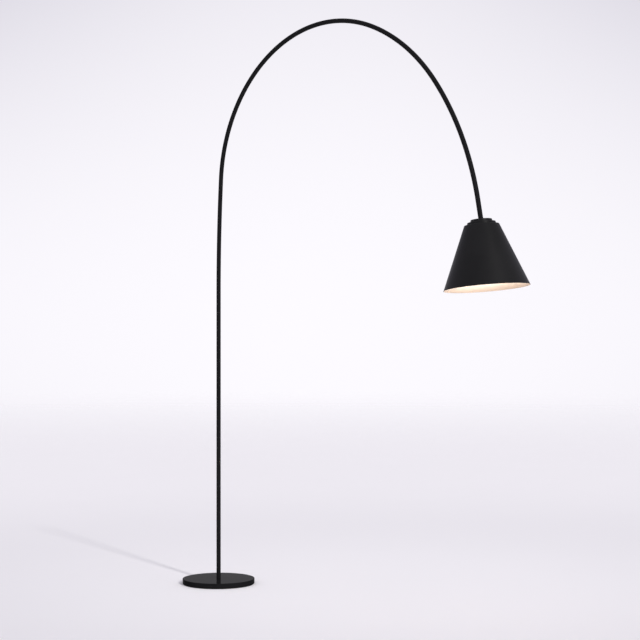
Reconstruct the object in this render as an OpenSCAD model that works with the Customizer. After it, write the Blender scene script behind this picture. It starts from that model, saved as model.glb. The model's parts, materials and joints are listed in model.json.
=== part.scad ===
// Arc floor lamp: a weighted disc base, a slim pole, a bent arc rod that swivels on the pole, and a
// conical metal shade on a swivelling and tilting knuckle. Millimetres, +Z up. The origin is the centre
// of the base's underside, and the arc lies in the XZ plane and reaches towards +X.

/* [Base] */
// Diameter of the steel base plate
base_d = 268; // [250:2:300]
// Thickness of the base plate
plate_t = 18; // [17:0.5:22]
// Thickness of the rubber pad under the plate
pad_t = 2; // [1.6:0.1:4]
// Radius of the wiring recess under the plate
recess_r = 36; // [34:1:40]
// Thickness of the plate left above the recess
web_t = 4; // [3.5:0.1:5]

/* [Rod] */
// Outside diameter of the pole and arc tubes
tube_d = 16; // [16:0.5:18]
// Wall of the pole and arc tubes
tube_wall = 1.2; // [1.2:0.1:1.5]
// Height of the joint between the pole and the arc
joint_h = 1010; // [900:10:1020]
// Height where the arc tube starts to bend
bend_h = 1087; // [1085:1:1200]
// Radius of the arc tube's first bend, a slow lean just above the joint
lean_bend_r = 6600; // [6400:50:6800]
// Angle of the first bend, in degrees
lean_bend_turn = 3.65; // [3.45:0.05:3.85]
// Radius of the second bend, over the top
top_bend_r = 550; // [546:1:554]
// Angle of the second bend, in degrees
top_bend_turn = 109.35; // [109.05:0.05:109.65]
// Radius of the third bend, down the front
front_bend_r = 675; // [670:1:680]
// Angle of the third bend, in degrees
front_bend_turn = 29.4; // [29:0.1:29.8]
// Radius of the fourth bend, above the shade
last_bend_r = 960; // [950:2:970]
// Angle of the fourth bend, in degrees
last_bend_turn = 26.7; // [26.3:0.1:27.1]
// Straight end of the arc tube, after its last bend
rod_end_l = 64.5; // [55:0.5:90]

/* [Shade] */
// Outside diameter of the shade's rim
rim_d = 278; // [260:1:300]
// Outside diameter of the shade's cone at the top
cone_top_d = 112; // [110:1:118]
// Height of the cone
cone_h = 204.5; // [195:0.5:230]
// Lean of the shade's axis from vertical, its lower end away from the pole, in degrees
shade_lean = 6; // [0:0.5:12]
// Outside diameter of the cap's upper step
upper_step_d = 70; // [66:1:74]
// Outside diameter of the cap's lower step
lower_step_d = 92; // [90:1:96]
// Height of each step
step_h = 8.4; // [8:0.1:10]
// Thickness of the spun metal of the shade and its cap
shade_wall = 0.9; // [0.8:0.1:1.4]

/* [Bulb] */
// Diameter of the bulb's globe
globe_d = 60; // [56:1:64]
// Length of the bulb from its contact to its crown
bulb_l = 107; // [104:1:112]

/* [Hidden] */

// Fragments of a round part, of a small round part and of a hexagon
round_fn = 96;
small_fn = 32;
hex_fn = 6;
// Fragments of a full turn at the bends' large radii
bend_fn = 256;
// Gap between neighbouring bends, and the length and height of the band that bridges it
bend_gap = 0.1;
band_l = 1.2;
band_proud = 0.05;
// A cut runs this far past the faces it opens
cut = 1;
// Radial clearance of a running fit, and of a hole that only has to clear its screw or thread
running = 0.04;
slip = 0.1;

// Tubes, threaded nipples and their nuts
tube_r = tube_d / 2;
bore_r = tube_r - tube_wall;
nipple_r = 5;
nipple_bore_r = 3.5;
nut_flats = 14;
nut_t = 4;
flex_r = 2.8;
core_r = 0.9;
core_pitch = 1.88;

// Heights in the base
base_r = base_d / 2;
base_top = pad_t + plate_t;
web_z = base_top - web_t;
edge_r = 1.5;
pad_inset = 3;
cover_r = recess_r + 5;
cover_t = 1.2;
cover_gap = 0.4;
cover_screw_r = recess_r + 2.5;
cover_screw_n = 3;
cover_screw_l = 7;
cover_head_r = 2.8;
cover_shank_r = 1.5;
washer_t = 1.4;
washer_r = 11;
nipple_below = 1.2;
nipple_foot = web_z - washer_t - nut_t - nipple_below;
insert_l = 24;
nipple_short = 2;
sheath_in = 2;

// Mains inlet: a round-topped channel from the recess to the rim at the back, and its bush
inlet_r = 5;
inlet_z = pad_t + 6;
inlet_l = 12;
lead_r = 3.1;

// Terminal block and earth tag in the recess
block_size = [14, 26, 12];
block_x = -24;
pole_pitch = 8;
core_z = web_z - block_size[2] + 2.5;
terminal_screw_r = 1.6;
terminal_bore_r = 1.3;
screw_above_core = 1;
earth_at = [15, -15];
earth_hole_r = 2;
earth_skin = 1;
tag_t = 0.8;

// Spigot that joins the pole and the arc
spigot_half = 60;
spigot_bore_r = 4;
washer_gap = 0.8;
washer_clear = 0.05;
stop_z = joint_h + 30;
stop_span = 334;
stop_groove_h = 4;
stop_groove_d = 1.5;
grub_r = 2;
stop_tip_r = 1.5;
grub_drop = [20, 45];
grub_sunk = 0.3;

// The arc's tangent bends from the pole to the shade: their radii and the angles they turn through
arc_radii = [lean_bend_r, top_bend_r, front_bend_r, last_bend_r];
arc_turns = [lean_bend_turn, top_bend_turn, front_bend_turn, last_bend_turn];

// The arc's path in the XZ plane: each bend turns clockwise, seen with +X to the right
bends = len(arc_radii);
function heading(i) = i == 0 ? 90 : heading(i - 1) - arc_turns[i - 1];
function bend_start(i) = i == 0 ? [0, bend_h]
    : bend_start(i - 1) + arc_radii[i - 1] * [sin(heading(i - 1)) - sin(heading(i)),
                                              cos(heading(i)) - cos(heading(i - 1))];
function bend_centre(i) = bend_start(i) + arc_radii[i] * [sin(heading(i)), -cos(heading(i))];
end_heading = heading(bends);
rod_end = bend_start(bends) + rod_end_l * [cos(end_heading), sin(end_heading)];

// Knuckle: the pivot lies on the rod's axis just past the rod's end
pivot_past_end = 10;
pivot = rod_end + pivot_past_end * [cos(end_heading), sin(end_heading)];
plug_flange_t = 2;
plug_l = 26;
crown_t = 3;
crown_gap = 0.05;
wave_t = 0.8;
arm_t = 2.5;
arm_in = 10;
arm_r = 6;
crown_r = 8.4;
tilt_washer_t = 0.7;
lug_in = arm_in + arm_t + tilt_washer_t;
lug_t = 2.5;
pivot_r = 2.5;
pin_r = 1;
pin_at = 6.7;
pin_span = 340;
pin_slack = 0.1;
pin_slot_t = 1.5;
pin_tip_t = 1.3;
pin_sunk = 0.5;
nipple_back = 4;
nipple_tip = 1;
flex_short = 0.8;
wave_r = 7.6;

// Head, measured down from the cap's top face. at_head() puts these depths below the pivot's height
cap_above_pivot = 12.5;
slot_half = 13;
slot_w = tube_r + 0.8;
shoulder_t = 2 * step_h;
rim_t = shoulder_t + cone_h;
upper_r = upper_step_d / 2;
lower_r = lower_step_d / 2;
cone_top_r = cone_top_d / 2;
rim_r = rim_d / 2;
cap_round = 2.4;
shoulder_round = 3;
flange_in = 36;
cap_screw_at = 40.5;
cap_screw_r = 2;
cone_slope = atan((rim_r - cone_top_r) / cone_h);
wall_across = shade_wall / cos(cone_slope);
function cone_r(t) = cone_top_r + (t - shoulder_t) * tan(cone_slope);
foot_w = 16;
foot_t = 2.5;
plate_at = 28;
bracket_plate_t = 2.5;

// Lampholder and dish depths
holder_top = plate_at + bracket_plate_t;
holder_r = 19.5;
holder_wall = 2.2;
neck_at = 50;
flange_at = 61;
dish_at = 64;
dish_wall = 0.8;
dish_gap = 0.4;
dish_drop = 5;
holder_end = 87;
shell_r = 14.2;
shell_wall = 0.6;
insert_at = 47;
insert_end = 58;

// Bulb depths and radii
bulb_at = 61;
bulb_cap_r = 13.1;
thread_depth = 0.7;
thread_pitch = 3.6;
cap_from = bulb_at + 3.5;
cap_to = bulb_at + 24.5;
crown_at = bulb_at + bulb_l;
globe_r = globe_d / 2;
globe_centre = crown_at - globe_r;
globe_cut = globe_centre - 15;
globe_neck_r = sqrt(globe_r * globe_r - pow(globe_centre - globe_cut, 2));
globe_wall = 1.2;
housing_wall = 1.8;

// Points of an arc about [cx, cy], from angle a0 to a1
function arc_points(cx, cy, r, a0, a1, n = 6) =
    [for (i = [0 : n]) [cx + r * cos(a0 + (a1 - a0) * i / n), cy + r * sin(a0 + (a1 - a0) * i / n)]];

// ---- Shared shapes ----

// A flat ring, or a disc where the inner radius is 0
module ring(outer, inner = 0) {
    difference() {
        circle(r = outer, $fn = small_fn * 2);
        if (inner > 0) circle(r = inner, $fn = small_fn * 2);
    }
}

// An upright tube or rod
module tube(outer, inner, h) {
    linear_extrude(h) ring(outer, inner);
}

// A hexagon nut with a round bore
module hex_nut(flats, bore, h) {
    difference() {
        cylinder(d = flats / cos(180 / hex_fn), h = h, $fn = hex_fn);
        translate([0, 0, -cut]) cylinder(r = bore, h = h + 2 * cut, $fn = small_fn);
    }
}

// Puts a child where bend i starts, with its +Z along the tube. The straight end starts at i = bends
module at_bend(i) {
    translate([bend_start(i)[0], 0, bend_start(i)[1]]) rotate([0, 90 - heading(i), 0]) children();
}

// A tube or rod that follows the arc, from height z up to a distance past the rod's end. The bends
// stop just short of each other, and a narrow ground band at each meeting makes them one piece
module along_arc(outer, inner, z, past_end) {
    translate([0, 0, z]) tube(outer, inner, bend_h - z - bend_gap);
    for (i = [0 : bends - 1]) {
        trim = atan(bend_gap / arc_radii[i]);
        translate([bend_centre(i)[0], 0, bend_centre(i)[1]])
            rotate([90, 0, 0])
                rotate_extrude(angle = arc_turns[i] - 2 * trim, start = heading(i + 1) + 90 + trim,
                               $fn = bend_fn)
                    translate([arc_radii[i], 0]) ring(outer, inner);
    }
    for (i = [0 : bends])
        at_bend(i) translate([0, 0, -band_l / 2])
            tube(outer + band_proud, max(inner - band_proud, 0), band_l);
    at_bend(bends) translate([0, 0, bend_gap]) tube(outer, inner, rod_end_l - bend_gap + past_end);
}

// Puts a child at the rod's end, with its +Z along the rod, away from the tube
module at_rod_end() {
    translate([rod_end[0], 0, rod_end[1]]) rotate([0, 90 - end_heading, 0]) children();
}

// Puts a child at the pivot, with its +Z up the shade's axis
module at_pivot() {
    translate([pivot[0], 0, pivot[1]]) rotate([0, -shade_lean, 0]) children();
}

// Puts a child so that its +Z runs down the shade's axis and starts at the cap's top face
module at_head() {
    at_pivot() translate([0, 0, cap_above_pivot]) mirror([0, 0, 1]) children();
}

// A turned shape from points of [radius, depth below the cap's top face]
module turned(points) {
    at_head() rotate_extrude($fn = round_fn) polygon(points);
}

// A wire of round section along a path of [x, z] points in the XZ plane
module flat_wire(path, r, sides = 8) {
    last = len(path) - 1;
    points = [for (i = [0 : last], k = [0 : sides - 1])
        let (run = path[min(i + 1, last)] - path[max(i - 1, 0)],
             across = [run[1], -run[0]] / norm(run),
             a = k * 360 / sides)
        [path[i][0] + r * cos(a) * across[0], r * sin(a), path[i][1] + r * cos(a) * across[1]]];
    skin = [for (i = [0 : last - 1], k = [0 : sides - 1])
        [i * sides + k, i * sides + (k + 1) % sides,
         (i + 1) * sides + (k + 1) % sides, (i + 1) * sides + k]];
    near_end = [[for (k = [sides - 1 : -1 : 0]) k]];
    far_end = [[for (k = [0 : sides - 1]) last * sides + k]];
    polyhedron(points, concat(skin, near_end, far_end));
}

// ---- Base ----

module inlet_channel(r, from_x, to_x) {
    translate([from_x, 0, inlet_z]) rotate([0, 90, 0]) cylinder(r = r, h = to_x - from_x, $fn = small_fn);
    translate([from_x, -r, pad_t]) cube([to_x - from_x, 2 * r, inlet_z - pad_t]);
}

module base_plate() {
    color("#1c1c1e") difference() {
        rotate_extrude($fn = round_fn * 2) polygon(concat(
            [[0, pad_t]],
            [[base_r - edge_r / 2, pad_t], [base_r, pad_t + edge_r / 2]],
            arc_points(base_r - edge_r, base_top - edge_r, edge_r, 0, 90),
            [[0, base_top]]));
        translate([0, 0, pad_t - cut]) cylinder(r = recess_r, h = web_z - pad_t + cut, $fn = round_fn);
        translate([0, 0, pad_t - cut]) cylinder(r = cover_r + cover_gap, h = cover_t + cut, $fn = round_fn);
        translate([0, 0, pad_t]) cylinder(r = nipple_r + slip, h = plate_t + cut, $fn = small_fn);
        inlet_channel(inlet_r, -base_r - cut, -recess_r + cut);
        at_cover_screws() cylinder(r = cover_shank_r, h = cover_screw_l + cut, $fn = small_fn);
        translate([earth_at[0], earth_at[1], web_z - cut])
            cylinder(r = earth_hole_r, h = web_t - earth_skin + cut, $fn = small_fn);
    }
}

module foot_pad() {
    color("#161616") cylinder(r = base_r - pad_inset, h = pad_t, $fn = round_fn * 2);
}

// Places a child at each of the cover's screws, level with the plate's underside
module at_cover_screws() {
    for (i = [0 : cover_screw_n - 1])
        rotate(90 + i * 360 / cover_screw_n) translate([cover_screw_r, 0, pad_t]) children();
}

module recess_cover() {
    color("#2a2a2c") difference() {
        translate([0, 0, pad_t]) cylinder(r = cover_r, h = cover_t, $fn = round_fn);
        at_cover_screws() cylinder(r1 = cover_head_r, r2 = cover_shank_r, h = cover_t, $fn = small_fn);
    }
}

// Countersunk screws, flush with the plate's underside
module cover_screws() {
    socket_r = 1;
    color("silver") at_cover_screws() {
        difference() {
            cylinder(r1 = cover_head_r, r2 = cover_shank_r, h = cover_t, $fn = small_fn);
            translate([0, 0, -cut]) cylinder(r = socket_r, h = cover_t / 2 + cut, $fn = hex_fn);
        }
        translate([0, 0, cover_t]) cylinder(r = cover_shank_r, h = cover_screw_l - cover_t, $fn = small_fn);
    }
}

module inlet_bush() {
    color("#111111") difference() {
        intersection() {
            inlet_channel(inlet_r, -base_r - cut, -base_r + inlet_l);
            cylinder(r = base_r, h = base_top, $fn = round_fn * 2);
        }
        translate([-base_r - cut, 0, inlet_z]) rotate([0, 90, 0])
            cylinder(r = lead_r, h = inlet_l + 2 * cut, $fn = small_fn);
    }
}

module terminal_block() {
    block_z = web_z - block_size[2];
    screw_bore_l = core_z - block_z - screw_above_core + cut;
    color("white") difference() {
        translate([block_x - block_size[0] / 2, -block_size[1] / 2, block_z]) cube(block_size);
        for (side = [-1 : 1]) translate([block_x, side * pole_pitch, 0]) {
            translate([-block_size[0], 0, core_z]) rotate([0, 90, 0])
                cylinder(r = terminal_bore_r, h = 2 * block_size[0], $fn = small_fn);
            for (end = [-1, 1]) translate([end * block_size[0] / 4, 0, block_z - cut])
                cylinder(r = terminal_screw_r, h = screw_bore_l, $fn = small_fn);
        }
    }
}

module terminal_screws() {
    screw_l = 1.4;
    color("silver") for (side = [-1 : 1], end = [-1, 1])
        translate([block_x + end * block_size[0] / 4, side * pole_pitch,
                   core_z - screw_above_core - screw_l])
            cylinder(r = terminal_screw_r, h = screw_l, $fn = small_fn);
}

module earth_tag() {
    eye_r = 4.5;
    tail = [13, 4];
    color("goldenrod") translate([earth_at[0], earth_at[1], web_z - tag_t]) difference() {
        union() {
            cylinder(r = eye_r, h = tag_t, $fn = small_fn);
            translate([0, -tail[1] / 2, 0]) cube([tail[0], tail[1], tag_t]);
        }
        translate([0, 0, -cut]) cylinder(r = earth_hole_r, h = tag_t + 2 * cut, $fn = small_fn);
    }
}

module earth_screw() {
    head_t = 2.2;
    head_r = 3.6;
    socket_r = 1.5;
    socket_t = 1.2;
    tip_gap = 1.2;
    color("silver") translate([earth_at[0], earth_at[1], web_z - tag_t]) {
        difference() {
            translate([0, 0, -head_t]) cylinder(r = head_r, h = head_t, $fn = small_fn);
            translate([0, 0, -head_t - cut]) cylinder(r = socket_r, h = socket_t + cut, $fn = hex_fn);
        }
        cylinder(r = earth_hole_r, h = tag_t + web_t - tip_gap, $fn = small_fn);
    }
}

// The cores leave the sheath inside the nipple, bend over its foot and fan out to the terminals
module flex_cores() {
    sheath_z = nipple_foot + sheath_in;
    bend = nipple_foot - core_z;
    entry_in = 0.5;
    entry_x = block_x + block_size[0] / 2 + entry_in;
    color("firebrick") for (side = [-1 : 1]) {
        start_y = side * core_pitch;
        fan = atan((side * pole_pitch - start_y) / -entry_x);
        reach = -entry_x / cos(fan);
        translate([0, start_y, 0]) rotate(180 - fan)
            flat_wire(concat([[0, sheath_z]], arc_points(bend, nipple_foot, bend, 180, 270),
                             [[reach, core_z]]), core_r);
    }
}

module base_washer() {
    color("silver") translate([0, 0, web_z - washer_t]) tube(washer_r, nipple_r + slip, washer_t);
}

module base_nut() {
    color("silver") translate([0, 0, web_z - washer_t - nut_t]) hex_nut(nut_flats, nipple_r, nut_t);
}

module base_nipple() {
    color("silver") translate([0, 0, nipple_foot])
        tube(nipple_r, nipple_bore_r, base_top + insert_l - nipple_short - nipple_foot);
}

// ---- Pole ----

module pole_insert() {
    color("silver") translate([0, 0, base_top]) tube(bore_r, nipple_r, insert_l);
}

// Puts a child at height z with its +Z pointing out of the tube's back face, towards +Y
module out_of_back(z) {
    translate([0, 0, z]) rotate([-90, 0, 0]) children();
}

module lower_pole() {
    color("#1c1c1e") difference() {
        translate([0, 0, base_top]) tube(tube_r, bore_r, joint_h - base_top);
        for (drop = grub_drop)
            out_of_back(joint_h - drop) cylinder(r = grub_r, h = tube_r + cut, $fn = small_fn);
    }
}

module pole_spigot() {
    turning_r = bore_r - running;
    color("silver") difference() {
        union() {
            translate([0, 0, joint_h - spigot_half])
                cylinder(r = bore_r, h = spigot_half, $fn = small_fn * 2);
            translate([0, 0, joint_h]) cylinder(r = turning_r, h = spigot_half, $fn = small_fn * 2);
        }
        translate([0, 0, joint_h - spigot_half - cut])
            cylinder(r = spigot_bore_r, h = 2 * (spigot_half + cut), $fn = small_fn * 2);
        translate([0, 0, stop_z - stop_groove_h / 2])
            rotate_extrude(angle = stop_span, start = 90 - stop_span / 2, $fn = round_fn)
                translate([turning_r - stop_groove_d, 0]) square([stop_groove_d + cut, stop_groove_h]);
        for (drop = grub_drop)
            out_of_back(joint_h - drop) translate([0, 0, bore_r - stop_groove_d])
                cylinder(r = grub_r, h = tube_r, $fn = small_fn);
    }
}

module spigot_screws() {
    socket_r = 1.1;
    color("#303032") for (drop = grub_drop)
        out_of_back(joint_h - drop) translate([0, 0, bore_r - stop_groove_d]) difference() {
            cylinder(r = grub_r, h = stop_groove_d + tube_wall - grub_sunk, $fn = small_fn);
            translate([0, 0, stop_groove_d]) cylinder(r = socket_r, h = tube_wall + cut, $fn = hex_fn);
        }
}

module joint_washer() {
    color("#101010") translate([0, 0, joint_h]) tube(tube_r, bore_r + washer_clear, washer_gap);
}

module flex_pole() {
    color("#e8e8e4") translate([0, 0, nipple_foot + sheath_in])
        cylinder(r = flex_r, h = joint_h + washer_gap / 2 - nipple_foot - sheath_in, $fn = small_fn);
}

// ---- Arc ----

module arc_tube() {
    color("#1c1c1e") difference() {
        along_arc(tube_r, bore_r, joint_h + washer_gap, -plug_flange_t);
        out_of_back(stop_z) cylinder(r = grub_r, h = tube_r + cut, $fn = small_fn);
    }
}

module stop_screw() {
    tip_gap = 0.2;
    body_in = 0.1;
    socket_in = 0.3;
    socket_r = 1;
    tip_in = bore_r - running - stop_groove_d + tip_gap;
    color("#303032") out_of_back(stop_z) difference() {
        union() {
            translate([0, 0, bore_r + body_in])
                cylinder(r = grub_r, h = tube_wall - grub_sunk - body_in, $fn = small_fn);
            translate([0, 0, tip_in])
                cylinder(r = stop_tip_r, h = bore_r + body_in - tip_in, $fn = small_fn);
        }
        translate([0, 0, bore_r + socket_in]) cylinder(r = socket_r, h = tube_wall + cut, $fn = hex_fn);
    }
}

module rod_end_plug() {
    color("#1c1c1e") at_rod_end() difference() {
        union() {
            translate([0, 0, -plug_flange_t]) cylinder(r = tube_r, h = plug_flange_t, $fn = small_fn * 2);
            translate([0, 0, -plug_l]) cylinder(r = bore_r, h = plug_l - plug_flange_t, $fn = small_fn * 2);
        }
        translate([0, 0, -plug_l - cut]) cylinder(r = nipple_r, h = plug_l + 2 * cut, $fn = small_fn);
        translate([pin_at, 0, -plug_flange_t + pin_sunk])
            cylinder(r = pin_r, h = plug_flange_t, $fn = small_fn);
    }
}

module stop_pin() {
    color("silver") at_rod_end() translate([pin_at, 0, -plug_flange_t + pin_sunk])
        cylinder(r = pin_r, h = plug_flange_t - pin_sunk + crown_gap + pin_tip_t, $fn = small_fn);
}

module head_nipple() {
    color("silver") at_rod_end() translate([0, 0, -plug_l + nipple_back])
        tube(nipple_r, nipple_bore_r, plug_l - nipple_back + pivot_past_end - nipple_tip);
}

module wave_washer() {
    color("silver") at_rod_end() translate([0, 0, crown_gap + crown_t])
        tube(wave_r, nipple_r + slip, wave_t);
}

module lock_nut() {
    color("goldenrod") at_rod_end() translate([0, 0, crown_gap + crown_t + wave_t])
        hex_nut(nut_flats, nipple_r, nut_t);
}

module flex_arc() {
    color("#e8e8e4") along_arc(flex_r, 0, joint_h + washer_gap / 2, pivot_past_end - flex_short);
}

// ---- Knuckle ----

module swivel_yoke() {
    color("#1c1c1e") at_rod_end() difference() {
        union() {
            translate([0, 0, crown_gap]) cylinder(r = crown_r, h = crown_t, $fn = small_fn * 2);
            translate([-arm_r, -arm_in - arm_t, crown_gap])
                cube([2 * arm_r, 2 * (arm_in + arm_t), crown_t]);
            for (side = [-1, 1]) {
                near = side > 0 ? arm_in : -arm_in - arm_t;
                translate([-arm_r, near, crown_gap]) cube([2 * arm_r, arm_t, pivot_past_end - crown_gap]);
                translate([0, near, pivot_past_end]) rotate([-90, 0, 0])
                    cylinder(r = arm_r, h = arm_t, $fn = small_fn);
            }
        }
        translate([0, 0, -cut]) cylinder(r = nipple_r + running, h = crown_t + 2 * cut, $fn = small_fn * 2);
        translate([0, 0, -cut])
            rotate_extrude(angle = pin_span, start = -pin_span / 2, $fn = small_fn * 2)
                translate([pin_at - pin_r - pin_slack, 0])
                    square([2 * (pin_r + pin_slack), cut + crown_gap + pin_slot_t]);
        translate([0, -lug_in, pivot_past_end]) rotate([-90, 0, 0])
            cylinder(r = pivot_r, h = 2 * lug_in, $fn = small_fn);
    }
}

// Each shoulder screw goes through a lug of the bracket and into an arm of the yoke
module tilt_screws() {
    head_t = 2.4;
    head_r = 4.5;
    head_floor = 1;
    socket_r = 1.5;
    tip_gap = 0.3;
    gap = 0.05;
    color("#303032") at_rod_end() translate([0, 0, pivot_past_end])
        for (side = [-1, 1]) rotate([side * -90, 0, 0]) {
            translate([0, 0, arm_in + tip_gap])
                cylinder(r = pivot_r, h = arm_t + tilt_washer_t + lug_t + gap - tip_gap, $fn = small_fn);
            translate([0, 0, lug_in + lug_t + gap]) difference() {
                cylinder(r = head_r, h = head_t, $fn = small_fn);
                translate([0, 0, head_floor]) cylinder(r = socket_r, h = head_t, $fn = hex_fn);
            }
        }
}

module tilt_washers() {
    outer_r = 5.5;
    play = 0.03;
    color("#8a8a86") at_rod_end() translate([0, 0, pivot_past_end])
        for (side = [-1, 1]) rotate([side * -90, 0, 0])
            translate([0, 0, arm_in + arm_t]) tube(outer_r, pivot_r + running, tilt_washer_t - play);
}

// ---- Shade ----

// Depths turn to heights above the pivot in the bracket, which is drawn at the pivot
function up(t) = cap_above_pivot - t;

module tilt_bracket() {
    foot_top = up(shoulder_t + shade_wall);
    past_screw = 5.5;
    foot_reach = cap_screw_at + past_screw;
    plate_low = up(plate_at + bracket_plate_t);
    color("#2a2a2c") at_pivot() difference() {
        union() {
            for (side = [-1, 1]) {
                near = side > 0 ? lug_in : -lug_in - lug_t;
                foot_from = side > 0 ? lug_in : -foot_reach;
                translate([0, near, 0]) rotate([-90, 0, 0]) cylinder(r = arm_r, h = lug_t, $fn = small_fn);
                translate([-arm_r, near, plate_low]) cube([2 * arm_r, lug_t, -plate_low]);
                translate([-foot_w / 2, foot_from, foot_top - foot_t])
                    cube([foot_w, foot_reach - lug_in, foot_t]);
            }
            translate([-foot_w / 2, -lug_in - lug_t, plate_low])
                cube([foot_w, 2 * (lug_in + lug_t), bracket_plate_t]);
        }
        translate([0, -lug_in - lug_t - cut, 0]) rotate([-90, 0, 0])
            cylinder(r = pivot_r + running, h = 2 * (lug_in + lug_t + cut), $fn = small_fn);
        translate([0, 0, plate_low - cut])
            cylinder(r = nipple_r + slip, h = bracket_plate_t + 2 * cut, $fn = small_fn);
        for (side = [-1, 1]) translate([0, side * cap_screw_at, foot_top - foot_t - cut])
            cylinder(r = cap_screw_r + slip, h = foot_t + 2 * cut, $fn = small_fn);
    }
}

// Two holes for the screws that clamp the cap, the shade and the bracket together
module cap_screw_holes(from_t, to_t) {
    at_head() for (side = [-1, 1]) translate([0, side * cap_screw_at, from_t])
        cylinder(r = cap_screw_r + slip, h = to_t - from_t, $fn = small_fn);
}

// The cap is spun in one piece with two steps and a flange that lies on the shade's shoulder
module shade_cap() {
    color("#1c1c1e") difference() {
        turned(concat(
            [[0, 0]],
            arc_points(upper_r - cap_round, cap_round, cap_round, -90, 0),
            [[upper_r, step_h]],
            arc_points(lower_r - cap_round, step_h + cap_round, cap_round, -90, 0),
            [[lower_r, shoulder_t], [flange_in, shoulder_t], [flange_in, shoulder_t - shade_wall],
             [lower_r - shade_wall, shoulder_t - shade_wall], [lower_r - shade_wall, step_h + shade_wall],
             [upper_r - shade_wall, step_h + shade_wall], [upper_r - shade_wall, shade_wall],
             [0, shade_wall]]));
        at_head() translate([0, 0, -cut]) {
            for (side = [-1, 1]) translate([side * (slot_half - slot_w), 0, 0])
                cylinder(r = slot_w, h = shade_wall + 2 * cut, $fn = small_fn);
            translate([slot_w - slot_half, -slot_w, 0])
                cube([2 * (slot_half - slot_w), 2 * slot_w, shade_wall + 2 * cut]);
        }
        cap_screw_holes(shoulder_t - shade_wall - cut, shoulder_t + cut);
    }
}

module cap_nuts() {
    nut_h = 3;
    flats = 7;
    color("silver") at_head() for (side = [-1, 1])
        translate([0, side * cap_screw_at, shoulder_t - shade_wall - nut_h])
            rotate(hex_fn * 5) hex_nut(flats, cap_screw_r, nut_h);
}

module cap_screws() {
    clamped = 2 * shade_wall + foot_t;
    past_nut = 4;
    head_t = 2.4;
    head_r = 3.5;
    socket_r = 1.4;
    head_floor = 1.2;
    color("silver") at_head() for (side = [-1, 1])
        translate([0, side * cap_screw_at, shoulder_t + shade_wall + foot_t]) {
            translate([0, 0, -clamped - past_nut])
                cylinder(r = cap_screw_r, h = clamped + past_nut, $fn = small_fn);
            difference() {
                cylinder(r = head_r, h = head_t, $fn = small_fn);
                translate([0, 0, head_floor]) cylinder(r = socket_r, h = head_t, $fn = hex_fn);
            }
        }
}

module shade_shell() {
    corner_r = cone_top_r - shoulder_round * (1 - sin(cone_slope)) / cos(cone_slope);
    under = shoulder_t + shade_wall;
    color("#1c1c1e") difference() {
        turned(concat(
            [[flange_in, shoulder_t]],
            arc_points(corner_r, shoulder_t + shoulder_round, shoulder_round, -90, -cone_slope),
            [[rim_r, rim_t], [rim_r - wall_across, rim_t],
             [cone_r(under) - wall_across, under],
             [flange_in, under]]));
        cap_screw_holes(shoulder_t - cut, under + cut);
    }
}

// A white dish closes the top of the cone below the knuckle. Its rim stands just clear of the shade
module inner_dish() {
    rim_at = dish_at + dish_drop;
    dish_r = cone_r(dish_at) - wall_across - dish_gap;
    color("#fff6e6") turned([
        [holder_r + slip, dish_at], [dish_r - dish_drop, dish_at], [dish_r, rim_at],
        [dish_r - dish_wall, rim_at + dish_wall], [dish_r - dish_drop - dish_wall / 2, dish_at + dish_wall],
        [holder_r + slip, dish_at + dish_wall]]);
}

// ---- Lampholder ----

module holder_nipple() {
    color("silver") at_head() translate([0, 0, plate_at - nut_t - 1])
        tube(nipple_r, nipple_bore_r, nut_t + bracket_plate_t + 13);
}

module holder_nut() {
    color("silver") at_head() translate([0, 0, plate_at - nut_t]) hex_nut(nut_flats, nipple_r, nut_t);
}

module flex_head() {
    color("#e8e8e4") at_head() translate([0, 0, cap_above_pivot + 1.2])
        cylinder(r = flex_r, h = insert_at - cap_above_pivot - 1.2, $fn = small_fn);
}

module holder_cap() {
    dome_r = 7;
    boss_r = nipple_r + 3;
    color("#141414") turned(concat(
        [[nipple_r, holder_top], [boss_r, holder_top], [boss_r, holder_top + 3]],
        arc_points(holder_r - dome_r, holder_top + 3 + dome_r, dome_r, -90, 0),
        [[holder_r, neck_at], [holder_r - holder_wall, neck_at],
         [holder_r - holder_wall, holder_top + 3 + dome_r],
         [holder_r - dome_r, holder_top + 3 + holder_wall], [nipple_r, holder_top + 3 + holder_wall]]));
}

module holder_body() {
    neck_r = holder_r - holder_wall;
    inner = neck_r - 1.6;
    color("#141414") turned([
        [neck_r, neck_at - 5], [neck_r, neck_at], [holder_r, neck_at],
        [holder_r, flange_at], [holder_r + 3, flange_at], [holder_r + 3, dish_at],
        [holder_r, dish_at], [holder_r, holder_end], [inner, holder_end],
        [inner, neck_at - 5]]);
}

module holder_insert() {
    inner = holder_r - holder_wall - 1.6;
    color("ivory") at_head() translate([0, 0, insert_at]) difference() {
        cylinder(r = inner, h = insert_end - insert_at, $fn = small_fn * 2);
        for (side = [-1, 1]) translate([side * 8, 0, -cut]) {
            cylinder(r = 2.2, h = 6 + cut, $fn = small_fn);
            translate([-2.2, 0, 0]) cube([4.4, inner, 5 + cut]);
        }
    }
}

module centre_contact() {
    color("goldenrod") at_head() {
        translate([-2, -2.5, bulb_at - 0.6]) cube([7, 5, 0.6]);
        translate([4.4, -2.5, insert_end]) cube([0.6, 5, bulb_at - insert_end]);
    }
}

module screw_shell() {
    foot_in = 7.5;
    color("goldenrod") turned([
        [foot_in, insert_end], [shell_r, insert_end], [shell_r, holder_end - 4],
        [shell_r - shell_wall, holder_end - 4], [shell_r - shell_wall, insert_end + shell_wall],
        [foot_in, insert_end + shell_wall]]);
}

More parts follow.
